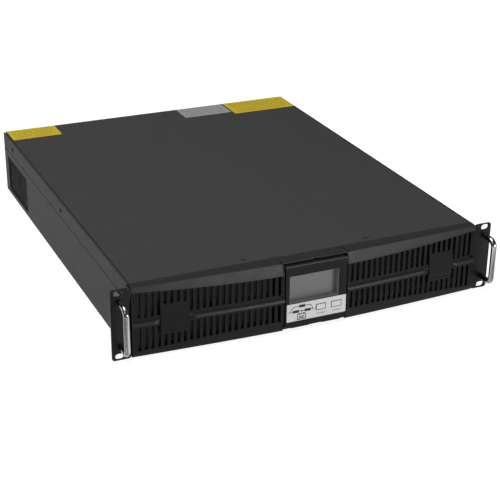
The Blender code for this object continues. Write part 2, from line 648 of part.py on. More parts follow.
def ports():
    """Blank cover of the card slot, serial and USB ports, and the socket for an outside battery pack."""
    cover = block("card_slot_cover", *span(CARD_X, CARD_Z, 82.0, 32.0, OUTSIDE, OUTSIDE + 1.2), STEEL)
    vents = [(CARD_X + 6.0 * i, CARD_Z) for i in range(-5, 6)]
    cut(cover, rods("card_slot_cover_vents", vents, 1.6, (OUTSIDE - 3, OUTSIDE + 4), "Y", None, 8))

    flange = block("serial_port", *span(SERIAL_X - 1.2, PORT_Z, 28.5, 12.4, OUTSIDE, OUTSIDE + 0.8), STEEL)
    half = 4.0
    shell = [(SERIAL_X + across, PORT_Z + up)
             for across, up in ((-8.0, half), (8.0, half), (6.6, -half), (-6.6, -half))]
    fuse(flange, outline("serial_port_shell", [shell], 8.0, None, (SERIAL_X, OUTSIDE - 1.5, PORT_Z)))

    usb = block("usb_port", *span(USB_X, PORT_Z, 12.0, 11.2, OUTSIDE - 12.0, OUTSIDE + 0.6), STEEL)
    cut(usb, block("usb_port_mouth", *span(USB_X, PORT_Z, 8.4, 8.4, OUTSIDE - 8.0, OUTSIDE + 3.0)))
    fuse(usb, block("usb_port_tongue", *span(USB_X, PORT_Z, 5.2, 4.8, OUTSIDE - 9.0, OUTSIDE - 1.0)))

    x, z = SOCKET_X, PORT_Z
    socket = block("battery_socket", *span(x - 1.5, z, 35.0, 26.0, OUTSIDE, OUTSIDE + 2.0), BLACK, 0.6)
    fuse(socket, block("battery_socket_body", *span(x, z, 29.0, 21.0, OUTSIDE - 18.0, OUTSIDE + 1)))
    mouths = [span(x + across, z, 11.0, 15.0, OUTSIDE - 14.0, OUTSIDE + 5) for across in (-7.0, 7.0)]
    cut(socket, blocks("battery_socket_mouths", mouths))


# Inside ------------------------------------------------------------------------------------------


def batteries():
    """Four sealed batteries in a row, in the sliding tray behind the door."""
    half, rim, floor = BAY_W / 2 - 1.5, 24.0, 2.6
    tray = [(BAY_X - half, rim), (BAY_X - half, floor), (BAY_X + half, floor), (BAY_X + half, rim)]
    folded_sheet("battery_tray", tray, 6.0, 402.0, 1.0, STEEL)
    length, pitch = 94.0, 97.0
    for number in range(4):
        start = 10.0 + pitch * number
        case = span(BAY_X, 36.1, 151.0, 65.0, start, start + length)
        block(f"battery_{number + 1}", *case, BATTERY, 1.5)


def power_stage():
    """The inverter board on its stand-offs, with heat sinks, transformer and bulk capacitors."""
    floor, deck = SHEET + GAP, 9.6
    base = deck + GAP
    board = block("power_board", (-36.0, 30.0, deck - 1.6), (212.0, 495.0, deck), BOARD)
    posts = [((x - 3.0, depth - 3.0, floor), (x + 3.0, depth + 3.0, deck - 0.8))
             for x in (-28.0, 204.0) for depth in (40.0, 260.0, 485.0)]
    fuse(board, blocks("power_board_posts", posts))
    plate, tip, half, fin = base + 5.0, base + 50.0, 22.5, 1.2
    for x, word in ((174.0, "right"), (112.0, "left")):
        comb = [(x + half, base), (x + half, plate)]
        for step in (21.0, 14.0, 7.0, 0.0, -7.0, -14.0, -21.0):
            near, far = x + step + fin, x + step - fin
            comb += [(near, plate), (near, tip), (far, tip), (far, plate)]
        comb += [(x - half, plate), (x - half, base)]
        outline(f"heat_sink_{word}", [comb], 190.0, FINS, (x, 215.0, base + 20.0))
    core = block("transformer", (-24.0, 62.0, base), (52.0, 132.0, 68.0), WINDING, 1.0)
    fuse(core, block("transformer_coil", (-14.0, 54.0, deck + 6), (42.0, 140.0, 62.0)))
    for number, depth in enumerate((180.0, 222.0), 1):
        rods(f"capacitor_{number}", [(10.0, depth)], 17.5, (base, 62.0), "Z", SLEEVE, 20)


def main():
    chassis = housing()
    side_vent(chassis)
    top_stickers()
    front_panel()
    display_surround()
    display()
    for side, word in ((-1, "left"), (1, "right")):
        bezel(side, word)
        ear(side, word)
    rear_panel()
    for x, word in zip(FAN_X, ("outer", "inner")):
        fan(x, word)
    inlet_and_breaker()
    for name, z in OUTLET_ROWS.items():
        outlet_bank(name, z)
    ports()
    batteries()
    power_stage()


main()
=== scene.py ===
"""Looks of a two-unit uninterruptible power supply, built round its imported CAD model.

Lengths in this file are body millimetres, as in the CAD source: x from the middle plane, depth from the
front edge of the top cover towards the rear, and z from the underside. at() turns them into scene metres.
"""

import json
import math

import bmesh
import bpy
from mathutils import Euler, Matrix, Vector


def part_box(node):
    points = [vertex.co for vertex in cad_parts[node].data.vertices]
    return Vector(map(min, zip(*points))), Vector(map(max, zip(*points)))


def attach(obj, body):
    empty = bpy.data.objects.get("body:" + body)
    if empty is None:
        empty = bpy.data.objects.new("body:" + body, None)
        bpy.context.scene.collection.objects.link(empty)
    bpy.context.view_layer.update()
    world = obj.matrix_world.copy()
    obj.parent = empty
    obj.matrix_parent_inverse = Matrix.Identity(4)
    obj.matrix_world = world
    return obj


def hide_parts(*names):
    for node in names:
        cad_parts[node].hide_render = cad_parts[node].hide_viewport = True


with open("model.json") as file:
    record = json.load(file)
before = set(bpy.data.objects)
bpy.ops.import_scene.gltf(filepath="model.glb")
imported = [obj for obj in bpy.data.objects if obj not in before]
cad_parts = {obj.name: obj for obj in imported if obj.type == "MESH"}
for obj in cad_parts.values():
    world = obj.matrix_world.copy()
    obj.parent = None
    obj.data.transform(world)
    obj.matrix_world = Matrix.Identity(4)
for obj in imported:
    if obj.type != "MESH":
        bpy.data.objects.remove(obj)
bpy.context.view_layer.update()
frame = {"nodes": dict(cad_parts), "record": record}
NODES = frame["nodes"]
MM = 0.001
FRONT_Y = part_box("top_cover")[0][1]
QUARTER = math.pi / 2
SIDES = ((-1, "left"), (1, "right"))


def at(x, depth, z):
    return Vector((x * MM, FRONT_Y + depth * MM, z * MM))


def in_body(point):
    """The reverse of at(): a scene point in body millimetres."""
    return Vector((point[0] / MM, (point[1] - FRONT_Y) / MM, point[2] / MM))


def mm_box(node):
    """Lowest and highest corner of a CAD node in body millimetres."""
    return [in_body(corner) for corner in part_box(node)]


def middle(node):
    low, high = mm_box(node)
    return (low + high) / 2


# Materials ---------------------------------------------------------------------------------------


class Nodes:
    """Short names for a node tree that works in millimetres of the object."""

    def __init__(self, name):
        self.material = bpy.data.materials.new(name)
        self.material.use_nodes = True
        self.tree = self.material.node_tree
        self.shader = self.tree.nodes["Principled BSDF"]
        place = self.tree.nodes.new("ShaderNodeTexCoord")
        scale = self.tree.nodes.new("ShaderNodeVectorMath")
        scale.operation = "SCALE"
        scale.inputs["Scale"].default_value = 1 / MM
        self.link(place.outputs["Object"], scale.inputs[0])
        self.place = scale.outputs[0]

    def link(self, start, end):
        self.tree.links.new(start, end)

    def math(self, operation, *values):
        made = self.tree.nodes.new("ShaderNodeMath")
        made.operation = operation
        for value, socket in zip(values, made.inputs):
            if isinstance(value, (int, float)):
                socket.default_value = value
            else:
                self.link(value, socket)
        return made.outputs[0]

    def noise(self, size, detail=3.0, stretch=None):
        """Noise between 0 and 1 with features about size millimetres wide, longer where stretch is small."""
        made = self.tree.nodes.new("ShaderNodeTexNoise")
        made.inputs["Scale"].default_value = 1 / size
        made.inputs["Detail"].default_value = detail
        vector = self.place
        if stretch:
            pull = self.tree.nodes.new("ShaderNodeVectorMath")
            pull.operation = "MULTIPLY"
            pull.inputs[1].default_value = stretch
            self.link(vector, pull.inputs[0])
            vector = pull.outputs[0]
        self.link(vector, made.inputs["Vector"])
        return made.outputs["Fac"]

    def ramp(self, value, low, high, to_low=0.0, to_high=1.0):
        made = self.tree.nodes.new("ShaderNodeMapRange")
        made.inputs["From Min"].default_value = low
        made.inputs["From Max"].default_value = high
        made.inputs["To Min"].default_value = to_low
        made.inputs["To Max"].default_value = to_high
        self.link(value, made.inputs["Value"])
        return made.outputs["Result"]

    def mix(self, factor, first, second):
        """Colour between two, each a triple or a socket."""
        made = self.tree.nodes.new("ShaderNodeMix")
        made.data_type = "RGBA"
        self.link(factor, made.inputs["Factor"])
        colours = [s for s in made.inputs if s.type == "RGBA"]
        for colour, socket in zip((first, second), colours):
            if isinstance(colour, tuple):
                socket.default_value = (*colour, 1.0)
            else:
                self.link(colour, socket)
        return [s for s in made.outputs if s.type == "RGBA"][0]

    def bump(self, height, distance, strength=1.0):
        """Surface relief, distance in millimetres."""
        made = self.tree.nodes.new("ShaderNodeBump")
        made.inputs["Distance"].default_value = distance * MM
        made.inputs["Strength"].default_value = strength
        self.link(height, made.inputs["Height"])
        self.link(made.outputs[0], self.shader.inputs["Normal"])

    def edges(self, radius, upper=False):
        """1 along sharp edges within radius millimetres, 0 on open faces; with upper, only upper edges."""
        soft = self.tree.nodes.new("ShaderNodeBevel")
        soft.samples = 4
        soft.inputs["Radius"].default_value = radius * MM
        geometry = self.tree.nodes.new("ShaderNodeNewGeometry")
        dot = self.tree.nodes.new("ShaderNodeVectorMath")
        dot.operation = "DOT_PRODUCT"
        self.link(soft.outputs[0], dot.inputs[0])
        self.link(geometry.outputs["Normal"], dot.inputs[1])
        mask = self.ramp(dot.outputs["Value"], 0.985, 0.86)
        if upper:
            split = self.tree.nodes.new("ShaderNodeSeparateXYZ")
            self.link(soft.outputs[0], split.inputs[0])
            mask = self.math("MULTIPLY", mask, self.ramp(split.outputs["Z"], 0.15, 0.35))
        return mask

    def upward(self):
        """0 on upright faces, 1 on level ones that look up."""
        geometry = self.tree.nodes.new("ShaderNodeNewGeometry")
        split = self.tree.nodes.new("ShaderNodeSeparateXYZ")
        self.link(geometry.outputs["Normal"], split.inputs[0])
        return self.ramp(split.outputs["Z"], 0.05, 0.6)


def tint(colour, factor):
    return tuple(min(1.0, c * factor) for c in colour)


def surface(name, colour, roughness, metallic=0.0, specular=0.5, grain=0.6, relief=0.02, mottle=0.12,
            smudge=0.08, edge_wear_and_highlight=None, stretch=None, painted_top_light=None, painted_edge_highlight=None):
    """Plastic or paint whose colour and gloss vary softly, with a fine grain.

    One optional colour goes on rubbed edges and also paints a highlight there, one is painted light on
    faces that look up, and one is a painted highlight along upper edges.
    """
    n = Nodes(name)
    shader = n.shader
    shader.inputs["Metallic"].default_value = metallic
    shader.inputs["Specular IOR Level"].default_value = specular
    cloud = n.noise(38.0, 4.0)
    shade = n.mix(cloud, tint(colour, 1 - mottle), tint(colour, 1 + mottle))
    fine = n.noise(grain, 2.0, stretch)
    shade = n.mix(n.ramp(fine, 0.35, 0.65, 0.0, 0.35), shade, tint(colour, 0.72))
    # Faces that look up are painted lighter here: painted light from above.
    if painted_top_light:
        shade = n.mix(n.upward(), shade, painted_top_light)
    # Upper edges get a painted highlight here.
    if painted_edge_highlight:
        shade = n.mix(n.edges(0.9, True), shade, painted_edge_highlight)
    rough = n.ramp(n.noise(17.0, 5.0), 0.3, 0.7, roughness - smudge, roughness + smudge)
    # Edges get a lighter colour here: rubbed wear, and also a painted highlight along them.
    if edge_wear_and_highlight:
        edge = n.math("MULTIPLY", n.edges(0.7), n.ramp(n.noise(3.0, 4.0), 0.35, 0.6, 0.25, 1.0))
        shade = n.mix(edge, shade, edge_wear_and_highlight)
    n.link(shade, shader.inputs["Base Color"])
    n.link(rough, shader.inputs["Roughness"])
    n.bump(fine, relief)
    return n.material


def brushed(name, colour, roughness, axis="X"):
    """Metal with fine scratches along the axis."""
    pull = {"X": (0.04, 1.0, 1.0), "Y": (1.0, 0.04, 1.0)}[axis]
    return surface(name, colour, roughness, 1.0, grain=0.5, relief=0.006, mottle=0.06, smudge=0.05,
                   stretch=pull)


def chrome(name):
    """Polished bar with painted reflections: bright and dark streaks in its colour along its grip."""
    n = Nodes(name)
    n.shader.inputs["Metallic"].default_value = 1.0
    painted_reflection_streak = n.noise(1.7, 1.5, (1.0, 1.0, 0.02))
    # Painted reflection: the colour swings between bright and dark streaks along the grip.
    shade = n.mix(n.ramp(painted_reflection_streak, 0.40, 0.60), (0.10, 0.10, 0.105), (0.50, 0.505, 0.515))
    shade = n.mix(n.ramp(n.noise(6.0, 4.0), 0.45, 0.75, 0.0, 0.4), shade, (0.26, 0.265, 0.27))
    n.link(shade, n.shader.inputs["Base Color"])
    n.link(n.ramp(n.noise(9.0, 4.0), 0.3, 0.7, 0.08, 0.16), n.shader.inputs["Roughness"])
    n.bump(painted_reflection_streak, 0.004)
    return n.material


def film(name):
    """Matt printed film with a faint sparkle."""
    n = Nodes(name)
    speck = n.noise(0.35, 2.0)
    cloud = n.noise(25.0, 3.0)
    shade = n.mix(n.ramp(speck, 0.4, 0.6, 0.0, 1.0), (0.40, 0.405, 0.409), (0.47, 0.476, 0.480))
    shade = n.mix(n.ramp(cloud, 0.3, 0.7, 0.0, 0.12), shade, (0.32, 0.325, 0.330))
    n.link(shade, n.shader.inputs["Base Color"])
    n.link(n.ramp(cloud, 0.3, 0.7, 0.32, 0.46), n.shader.inputs["Roughness"])
    n.bump(speck, 0.01)
    return n.material


def liquid_crystal(name):
    """Switched-off LCD: fine grid of cells on a grey ground."""
    cell = 0.55
    n = Nodes(name)
    split = n.tree.nodes.new("ShaderNodeSeparateXYZ")
    n.link(n.place, split.inputs[0])
    lines = None
    for axis in ("X", "Z"):
        across = n.math("FRACT", n.math("DIVIDE", split.outputs[axis], cell))
        bar = n.ramp(n.math("ABSOLUTE", n.math("SUBTRACT", across, 0.5)), 0.40, 0.47)
        lines = bar if lines is None else n.math("MAXIMUM", lines, bar)
    cloud = n.noise(22.0, 3.0)
    ground = n.mix(cloud, (0.142, 0.144, 0.146), (0.160, 0.162, 0.164))
    shade = n.mix(n.math("MULTIPLY", lines, 0.3), ground, (0.10, 0.102, 0.105))
    n.link(shade, n.shader.inputs["Base Color"])
    n.link(n.ramp(cloud, 0.3, 0.7, 0.30, 0.42), n.shader.inputs["Roughness"])
    n.bump(lines, 0.01, 0.4)
    return n.material


def clear_pane(name):
    """Clear plastic: nearly all light goes straight through, with a faint gloss and smears."""
    n = Nodes(name)
    smear = n.noise(9.0, 5.0, (1.0, 1.0, 0.35))
    n.link(n.mix(smear, (0.02, 0.02, 0.022), (0.06, 0.06, 0.062)), n.shader.inputs["Base Color"])
    n.link(n.ramp(smear, 0.3, 0.7, 0.06, 0.16), n.shader.inputs["Roughness"])
    n.shader.inputs["Alpha"].default_value = 0.10
    n.bump(smear, 0.004)
    return n.material


def sticker(name, colour, rim):
    """Vinyl with a soft gloss, faintly mottled, its outer edge catching the light."""
    n = Nodes(name)
    shade = n.mix(n.noise(12.0, 4.0), tint(colour, 0.9), tint(colour, 1.08))
    shade = n.mix(n.edges(0.5), shade, rim)
    n.link(shade, n.shader.inputs["Base Color"])
    n.link(n.ramp(n.noise(8.0, 4.0), 0.3, 0.7, 0.36, 0.52), n.shader.inputs["Roughness"])
    n.bump(n.noise(0.5, 2.0), 0.008)
    return n.material


def board(name):
    """Solder mask with traces and pads."""
    n = Nodes(name)
    brick = n.tree.nodes.new("ShaderNodeTexBrick")
    brick.inputs["Scale"].default_value = 0.14
    brick.inputs["Mortar Size"].default_value = 0.03
    brick.inputs["Color1"].default_value = (0.012, 0.075, 0.030, 1.0)
    brick.inputs["Color2"].default_value = (0.020, 0.110, 0.045, 1.0)
    brick.inputs["Mortar"].default_value = (0.045, 0.170, 0.070, 1.0)
    n.link(n.place, brick.inputs["Vector"])
    pads = n.ramp(n.noise(2.5, 1.0), 0.66, 0.70)
    n.link(n.mix(pads, brick.outputs["Color"], (0.42, 0.40, 0.34)), n.shader.inputs["Base Color"])
    n.link(n.ramp(pads, 0.0, 1.0, 0.42, 0.30), n.shader.inputs["Roughness"])
    n.bump(pads, 0.05)
    return n.material


def winding(name):
    """Varnished copper turns over a laminated core."""
    n = Nodes(name)
    wave = n.tree.nodes.new("ShaderNodeTexWave")
    wave.bands_direction = "Z"
    wave.inputs["Scale"].default_value = 0.5
    wave.inputs["Distortion"].default_value = 0.4
    n.link(n.place, wave.inputs["Vector"])
    n.link(n.mix(wave.outputs["Fac"], (0.16, 0.07, 0.015), (0.42, 0.21, 0.05)), n.shader.inputs["Base Color"])
    n.link(n.ramp(wave.outputs["Fac"], 0.0, 1.0, 0.5, 0.3), n.shader.inputs["Roughness"])
    n.bump(wave.outputs["Fac"], 0.2)
    return n.material


# Looks with an edge colour are lighter along their edges: rubbed wear and a painted edge highlight.
PAINT = surface("powder_coat", (0.046, 0.046, 0.0465), 0.50, specular=0.03, grain=0.55, mottle=0.03,
                smudge=0.03, edge_wear_and_highlight=(0.070, 0.070, 0.072))
# The black plastics are painted lighter on faces that look up, a painted light from above.
PLASTIC = surface("moulded_black", (0.0056, 0.0056, 0.0058), 0.35, specular=0.10, grain=0.35, relief=0.008,
                  mottle=0.08, smudge=0.03, edge_wear_and_highlight=(0.018, 0.018, 0.0185), painted_top_light=(0.0205, 0.0205, 0.021))
# The display's black and the lip also carry a painted highlight along their upper edges.
GLOSSY = surface("display_black", (0.0062, 0.0062, 0.0064), 0.32, specular=0.12, grain=0.4, relief=0.004,
                 mottle=0.06, smudge=0.03, painted_top_light=(0.024, 0.024, 0.0245), painted_edge_highlight=(0.190, 0.190, 0.193))
LIP = surface("lip_black", (0.0062, 0.0062, 0.0064), 0.35, specular=0.12, grain=0.35, relief=0.008,
              mottle=0.08, smudge=0.03, painted_top_light=(0.0195, 0.0195, 0.020), painted_edge_highlight=(0.170, 0.170, 0.173))
# The liner's pale colour is painted light on the shaded walls of the display's window.
LINER_PAINTED_LIGHT = surface("display_liner_painted_light", (0.180, 0.182, 0.185), 0.5, specular=0.2, grain=0.4, relief=0.01)
EAR_PAINT = surface("ear_paint", (0.0080, 0.0080, 0.0082), 0.40, specular=0.13, grain=0.5, relief=0.012,
                    mottle=0.06, smudge=0.05, edge_wear_and_highlight=(0.032, 0.032, 0.033))
CHROME = chrome("chrome_bar")
SCREW_BLACK = surface("screw_black", (0.016, 0.016, 0.017), 0.38, 0.4, specular=0.3, grain=0.3, relief=0.01,
                      edge_wear_and_highlight=(0.06, 0.06, 0.06))
SCREW_ZINC = surface("screw_zinc", (0.45, 0.46, 0.47), 0.32, 1.0, grain=0.4, relief=0.01,
                     edge_wear_and_highlight=(0.6, 0.6, 0.6))
ZINC = brushed("zinc_sheet", (0.42, 0.43, 0.44), 0.36)
REAR_PLASTIC = surface("socket_black", (0.011, 0.011, 0.0115), 0.40, specular=0.2, grain=0.5, relief=0.015,
                       edge_wear_and_highlight=(0.03, 0.03, 0.03))
FAN_PLASTIC = surface("fan_black", (0.010, 0.010, 0.0105), 0.34, specular=0.25, grain=0.6, relief=0.008)
BRASS = brushed("contact_metal", (0.55, 0.46, 0.29), 0.3, "Y")
KEY_CAP = surface("key_cap", (0.47, 0.475, 0.48), 0.40, specular=0.3, grain=0.35, relief=0.005, mottle=0.03,
                  edge_wear_and_highlight=(0.58, 0.58, 0.59))
FILM = film("keypad_film_print")
PRINT = surface("print_black", (0.018, 0.018, 0.019), 0.5, specular=0.2, grain=0.3, relief=0.002)
PRINT_GREY = surface("print_grey", (0.090, 0.091, 0.093), 0.5, specular=0.2, grain=0.3, relief=0.002)
PRINT_OCHRE = surface("print_ochre", (0.26, 0.195, 0.012), 0.5, specular=0.2, grain=0.4, relief=0.002,
                      mottle=0.2)
PRINT_DIM = surface("print_dim", (0.14, 0.14, 0.144), 0.5, specular=0.2, grain=0.4, relief=0.002,
                    mottle=0.2)
LCD = liquid_crystal("lcd_cells")
PANE = clear_pane("clear_pane")
YELLOW = sticker("yellow_vinyl", (0.49, 0.37, 0.010), (0.55, 0.44, 0.07))
SILVER = sticker("silver_vinyl", (0.26, 0.26, 0.265), (0.36, 0.36, 0.37))
# The vent screen is nearly black: painted shade for the recess it sits in.
VENT_PAINTED_SHADE = surface("vent_painted_shade", (0.008, 0.008, 0.0085), 0.6, specular=0.08, grain=0.5)
CELL = surface("battery_case", (0.040, 0.040, 0.044), 0.5, grain=0.8, relief=0.03, edge_wear_and_highlight=(0.08, 0.08, 0.085))
BOARD = board("solder_mask")
FINS = brushed("heat_sink_fins", (0.52, 0.53, 0.54), 0.38, "Y")
WINDING = winding("copper_winding")
SLEEVE = surface("capacitor_sleeve", (0.013, 0.018, 0.055), 0.32, grain=0.5, relief=0.01)

SLOT_LOOKS = {
    "steel_sheet_painted": PAINT, "bezel": PLASTIC, "badge": PLASTIC, "ear": EAR_PAINT, "chrome": CHROME,
    "display_case": GLOSSY, "display_glass": PANE, "keypad": FILM, "key_cap": KEY_CAP, "screw": SCREW_BLACK,
    "yellow_sticker": YELLOW, "silver_sticker": SILVER, "black_plastic": REAR_PLASTIC, "zinc_steel": ZINC,
    "battery": CELL, "circuit_board": BOARD, "heat_sink": FINS, "transformer": WINDING, "capacitor": SLEEVE,
}
SLOT_OF = {sub["node"]: sub["material_slot"] for sub in frame["record"]["subparts"]}
BODY_OF = {node: body for body, nodes in frame["record"]["behaviour"]["bodies"].items() for node in nodes}
for node, slot in SLOT_OF.items():
    NODES[node].data.materials.clear()
    NODES[node].data.materials.append(SLOT_LOOKS[slot])


# Mesh helpers ------------------------------------------------------------------------------------

SHARP_ANGLE = 35.0


def smooth(target):
    target.data.shade_smooth()
    target.data.set_sharp_from_angle(angle=math.radians(SHARP_ANGLE))


def placed(name, data):
    made = bpy.data.objects.new(name, data)
    bpy.context.scene.collection.objects.link(made)
    return made


def scene_mesh(name, bm):
    """A mesh in scene metres from a bmesh in body millimetres, which it frees."""
    for vert in bm.verts:
        vert.co = at(*vert.co)
    bmesh.ops.recalc_face_normals(bm, faces=bm.faces)
    mesh = bpy.data.meshes.new(name)
    bm.to_mesh(mesh)
    bm.free()
    return mesh


def applied(target):
    """A new mesh of what an object shows with its modifiers or curve settings applied."""
    bpy.context.view_layer.update()
    return bpy.data.meshes.new_from_object(target.evaluated_get(bpy.context.evaluated_depsgraph_get()))


def finish(name, bm, look, node, bevel=0.0, segments=2, replace=True, angle=30.0):
    """Makes a piece from a bmesh in body millimetres. It rides with the node and can stand for it."""
    mesh = scene_mesh(name, bm)
    # The normals stored with a CAD mesh no longer fit the welded copy of it.
    if "custom_normal" in mesh.attributes:
        mesh.attributes.remove(mesh.attributes["custom_normal"])
    made = placed(name, mesh)
    mesh.materials.append(look)
    smooth(made)
    if bevel:
        add_bevel(made, bevel, segments, angle)
    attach(made, BODY_OF[node])
    if replace:
        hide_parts(node)
    return made


def add_bevel(target, width, segments, angle):
    bevel = target.modifiers.new("rounded_edges", "BEVEL")
    bevel.width = width * MM
    bevel.segments = segments
    bevel.limit_method = "ANGLE"
    bevel.angle_limit = math.radians(angle)
    bevel.harden_normals = True


def box(bm, low, high):
    for vert in bmesh.ops.create_cube(bm, size=1.0)["verts"]:
        vert.co = Vector([(low[i] + high[i]) / 2 + vert.co[i] * (high[i] - low[i]) for i in range(3)])


def bridge(bm, rings, capped=True):
    """Faces between each ring of vertices and the next, and one over each end."""
    for near, far in zip(rings, rings[1:]):
        for i in range(len(near)):
            j = (i + 1) % len(near)
            bm.faces.new((near[i], near[j], far[j], far[i]))
    if capped:
        bm.faces.new(rings[0])
        bm.faces.new(rings[-1])


def loft(bm, stations, section):
    """A closed solid through the section's depth and z points at each x station."""
    bridge(bm, [[bm.verts.new((x, depth, z)) for depth, z in section(x)] for x in stations])


def spread(low, high, count):
    return [low + (high - low) * i / (count - 1) for i in range(count)]


def round_angles(sides):
    return [2 * math.pi * i / sides for i in range(sides)]


def rounded_path(points, radii, steps=3):
    """A closed path of depth and z with each corner rounded by its own radius."""
    path = []
    for i, (here, radius) in enumerate(zip(points, radii)):
        here = Vector(here)
        if not radius:
            path.append(tuple(here))
            continue
        before, after = Vector(points[i - 1]) - here, Vector(points[(i + 1) % len(points)]) - here
        reach = min(radius, before.length * 0.45, after.length * 0.45)
        start, end = here + before.normalized() * reach, here + after.normalized() * reach
        for step in range(steps + 1):
            t = step / steps
            path.append(tuple((1 - t) ** 2 * start + 2 * t * (1 - t) * here + t ** 2 * end))
    return path


def flat_plate(loops, start, end, axis="Y"):
    """A bmesh of a plate in body millimetres: the first loop is its rim, the rest its holes."""
    curve = bpy.data.curves.new("plate", "CURVE")
    curve.dimensions = "2D"
    curve.fill_mode = "BOTH"
    curve.extrude = abs(end - start) / 2
    for loop in loops:
        spline = curve.splines.new("POLY")
        spline.points.add(len(loop) - 1)
        spline.use_cyclic_u = True
        for point, (a, b) in zip(spline.points, loop):
            point.co = (a, b, 0.0, 1.0)
    drawn = placed("plate", curve)
    mesh = applied(drawn)
    bm = bmesh.new()
    bm.from_mesh(mesh)
    bpy.data.objects.remove(drawn, do_unlink=True)
    bpy.data.meshes.remove(mesh)
    bmesh.ops.remove_doubles(bm, verts=bm.verts, dist=0.001)
    bmesh.ops.dissolve_limit(bm, angle_limit=0.01, verts=bm.verts, edges=bm.edges)
    centre = (start + end) / 2
    for vert in bm.verts:
        a, b, c = vert.co
        vert.co = {"Y": (a, centre + c, b), "X": (centre + c, a, b)}[axis]
    return bm


def rounded(x, z, width, height, radius, steps=5):
    """A rectangle's outline with round corners."""
    points = []
    for corner in range(4):
        corner_x = x + (1, -1, -1, 1)[corner] * (width / 2 - radius)
        corner_z = z + (1, 1, -1, -1)[corner] * (height / 2 - radius)
        for step in range(steps + 1):
            angle = QUARTER * (corner + step / steps)
            points.append((corner_x + radius * math.cos(angle), corner_z + radius * math.sin(angle)))
    return points


def ring(x, z, radius, sides, turn):
    return [(x + radius * math.cos(turn + a), z + radius * math.sin(turn + a)) for a in round_angles(sides)]


def turned(bm, centre, axis, profile, sides=28):
    """A turned solid round an axis through the centre. The profile holds reach along the axis and radius."""
    index = "XYZ".index(axis)
    others = [i for i in range(3) if i != index]
    rings = []
    for reach, radius in profile:
        row = []
        for angle in round_angles(sides):
            point = Vector(centre)
            point[index] += reach
            point[others[0]] += radius * math.cos(angle)
            point[others[1]] += radius * math.sin(angle)
            row.append(bm.verts.new(point))
        rings.append(row)
    bridge(bm, rings)


def refined(node, bevel, look=None, angle=30.0):
    """A copy of a CAD node with welded, rounded edges that stands for it."""
    bm = bmesh.new()
    bm.from_mesh(NODES[node].data)
    bmesh.ops.remove_doubles(bm, verts=bm.verts, dist=0.02 * MM)
    bmesh.ops.dissolve_limit(bm, angle_limit=math.radians(0.6), verts=bm.verts, edges=bm.edges)
    for vert in bm.verts:
        vert.co = in_body(vert.co)
    finish(node + "_fine", bm, look or SLOT_LOOKS[SLOT_OF[node]], node, bevel, angle=angle)


# Bezels ------------------------------------------------------------------------------------------

# The two bezels mirror each other, so their sections are drawn from the right one's measures. The lip
# along the cover bows back towards the ear, and past STRAIGHT_TO the grille's upper edge rises and its
# lower edge falls.
LOW, HIGH = mm_box("bezel_right")
INNER, OUTER = LOW.x, HIGH.x
BACK, CROWN, BASE = -0.3, HIGH.z, LOW.z
WALL, END_WALL = 3.4, 2.2
SLOT_W, PITCH, FIRST, COUNT = 3.35, 7.47, INNER + 5.7, 23
BAND_TOP, BAND_FOOT = 48.4, 36.2
LIP_INNER, LIP_BOW, LIP_Z = -17.7, 7.1, 85.5
GRILLE_TOP, TOP_RISE = 72.4, 8.1
GRILLE_FOOT, FOOT_FALL = 14.4, 7.6
STRAIGHT_TO, FLARE_POWER = 60.0, 1.6
FACET_SLOPE = 0.36
BADGE = middle("badge_right")
BADGE_HALF = 16.7
PAD_LOW, PAD_HIGH = BADGE.z - 17.3, BADGE.z + 17.3


def along(x):
    """0 at the bezel's end beside the display, 1 at its end beside the ear."""
    return (x - INNER) / (OUTER - INNER)


def flare(x):
    """How far the grille's upper and lower edges have parted, from 0 to 1."""
    return max(0.0, (x - STRAIGHT_TO) / (OUTER - STRAIGHT_TO)) ** FLARE_POWER


def lip(x):
    """Depth of the front of the strip along the cover."""
    return LIP_INNER + LIP_BOW * along(x)


def grille_top(x):
    return GRILLE_TOP + TOP_RISE * flare(x)


def grille_foot(x):
    return GRILLE_FOOT - FOOT_FALL * flare(x)


def face(x):
    """Depth of the grille's face, at the foot of the facet that slopes down from the lip."""
    return lip(x) - FACET_SLOPE * (LIP_Z - grille_top(x))


def tuck(x):
    """How far behind the face the lower moulding meets the underside."""
    return 1.6 + 1.6 * (1 - along(x))


def upper_moulding(x):
    """The strip along the cover, the facet that slopes down from it, and the grille's upper edge."""
    x = abs(x)
    front, top = face(x), grille_top(x)
    points = [(BACK, CROWN), (lip(x) + 0.6, CROWN - 0.6), (lip(x), CROWN - 1.0), (front, top),
              (front, top - 0.4), (front + WALL, top - 0.4), (lip(x) + 2.2, CROWN - 3.2),
              (BACK, CROWN - 2.4)]
    return rounded_path(points, (0.3, 0.5, 0.4, 1.3, 0.3, 0.4, 0.0, 0.0))


def lower_moulding(x):
    """The grille's lower edge and the strip that turns under to the chassis."""
    x = abs(x)
    front, foot = face(x), grille_foot(x)
    points = [(front, foot + 0.4), (front, foot), (front + tuck(x), BASE), (BACK, BASE), (BACK, BASE + 2.2),
              (front + WALL + 2.0, BASE + 2.2), (front + WALL, foot + 0.4)]
    return rounded_path(points, (0.4, 1.4, 0.8, 0.3, 0.0, 0.0, 0.4))


